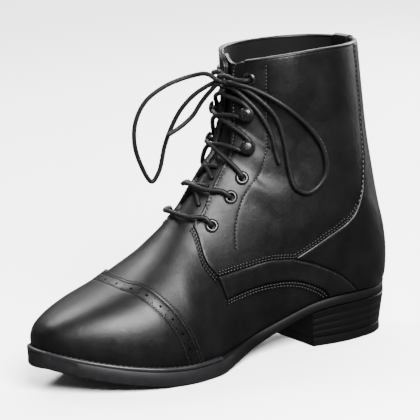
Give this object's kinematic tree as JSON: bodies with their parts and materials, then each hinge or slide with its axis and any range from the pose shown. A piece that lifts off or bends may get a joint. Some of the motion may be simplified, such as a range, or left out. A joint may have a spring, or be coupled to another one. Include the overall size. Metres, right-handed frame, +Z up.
{
  "type": "paddock boot",
  "caption": "Right ankle boot in smooth black leather with a punched straight toe cap, open laced front with hooks, narrow welt and low stacked heel.",
  "frame": {"origin": "middle of the heel's floor face; the boot stands on Z = 0", "axes": "+Z up, the toe points to -Y, +X is the inner side of the right foot"},
  "size_m": [0.0965, 0.2675, 0.2011],
  "materials": {
    "upper_leather": "smooth black box calf, waxed to a soft shine, with brogue holes on the toe cap",
    "insole_board": "dark leather sock, matt",
    "welt": "black edge-dressed leather, satin",
    "sole_rubber": "dark grey rubber, satin side and worn matt tread",
    "heel_stack": "black stacked layers with fine grooves",
    "black_metal": "black enamel over brass, glossy",
    "lace": "round braided waxed cotton, black"
  },
  "bodies": {
    "root": {"eyelet_lateral_1": "black_metal", "eyelet_lateral_2": "black_metal", "eyelet_lateral_3": "black_metal", "eyelet_lateral_6": "black_metal", "eyelet_medial_1": "black_metal", "eyelet_medial_2": "black_metal", "eyelet_medial_3": "black_metal", "eyelet_medial_6": "black_metal", "heel": "heel_stack", "heel_counter": "upper_leather", "heel_top_piece": "sole_rubber", "hook_lateral_4": "black_metal", "hook_lateral_5": "black_metal", "hook_medial_4": "black_metal", "hook_medial_5": "black_metal", "insole": "insole_board", "lace_bar_1": "lace", "lace_bar_2": "lace", "lace_cross_1": "lace", "lace_cross_2": "lace", "lace_end_far": "lace", "lace_end_near": "lace", "lace_front": "lace", "lace_knot": "lace", "lace_loop_far": "lace", "lace_loop_near": "lace", "outsole": "sole_rubber", "quarter_lateral": "upper_leather", "quarter_medial": "upper_leather", "side_strip_lateral": "upper_leather", "side_strip_medial": "upper_leather", "toe_cap": "upper_leather", "tongue": "upper_leather", "upper": "upper_leather", "welt": "welt"}
  },
  "joints": []
}
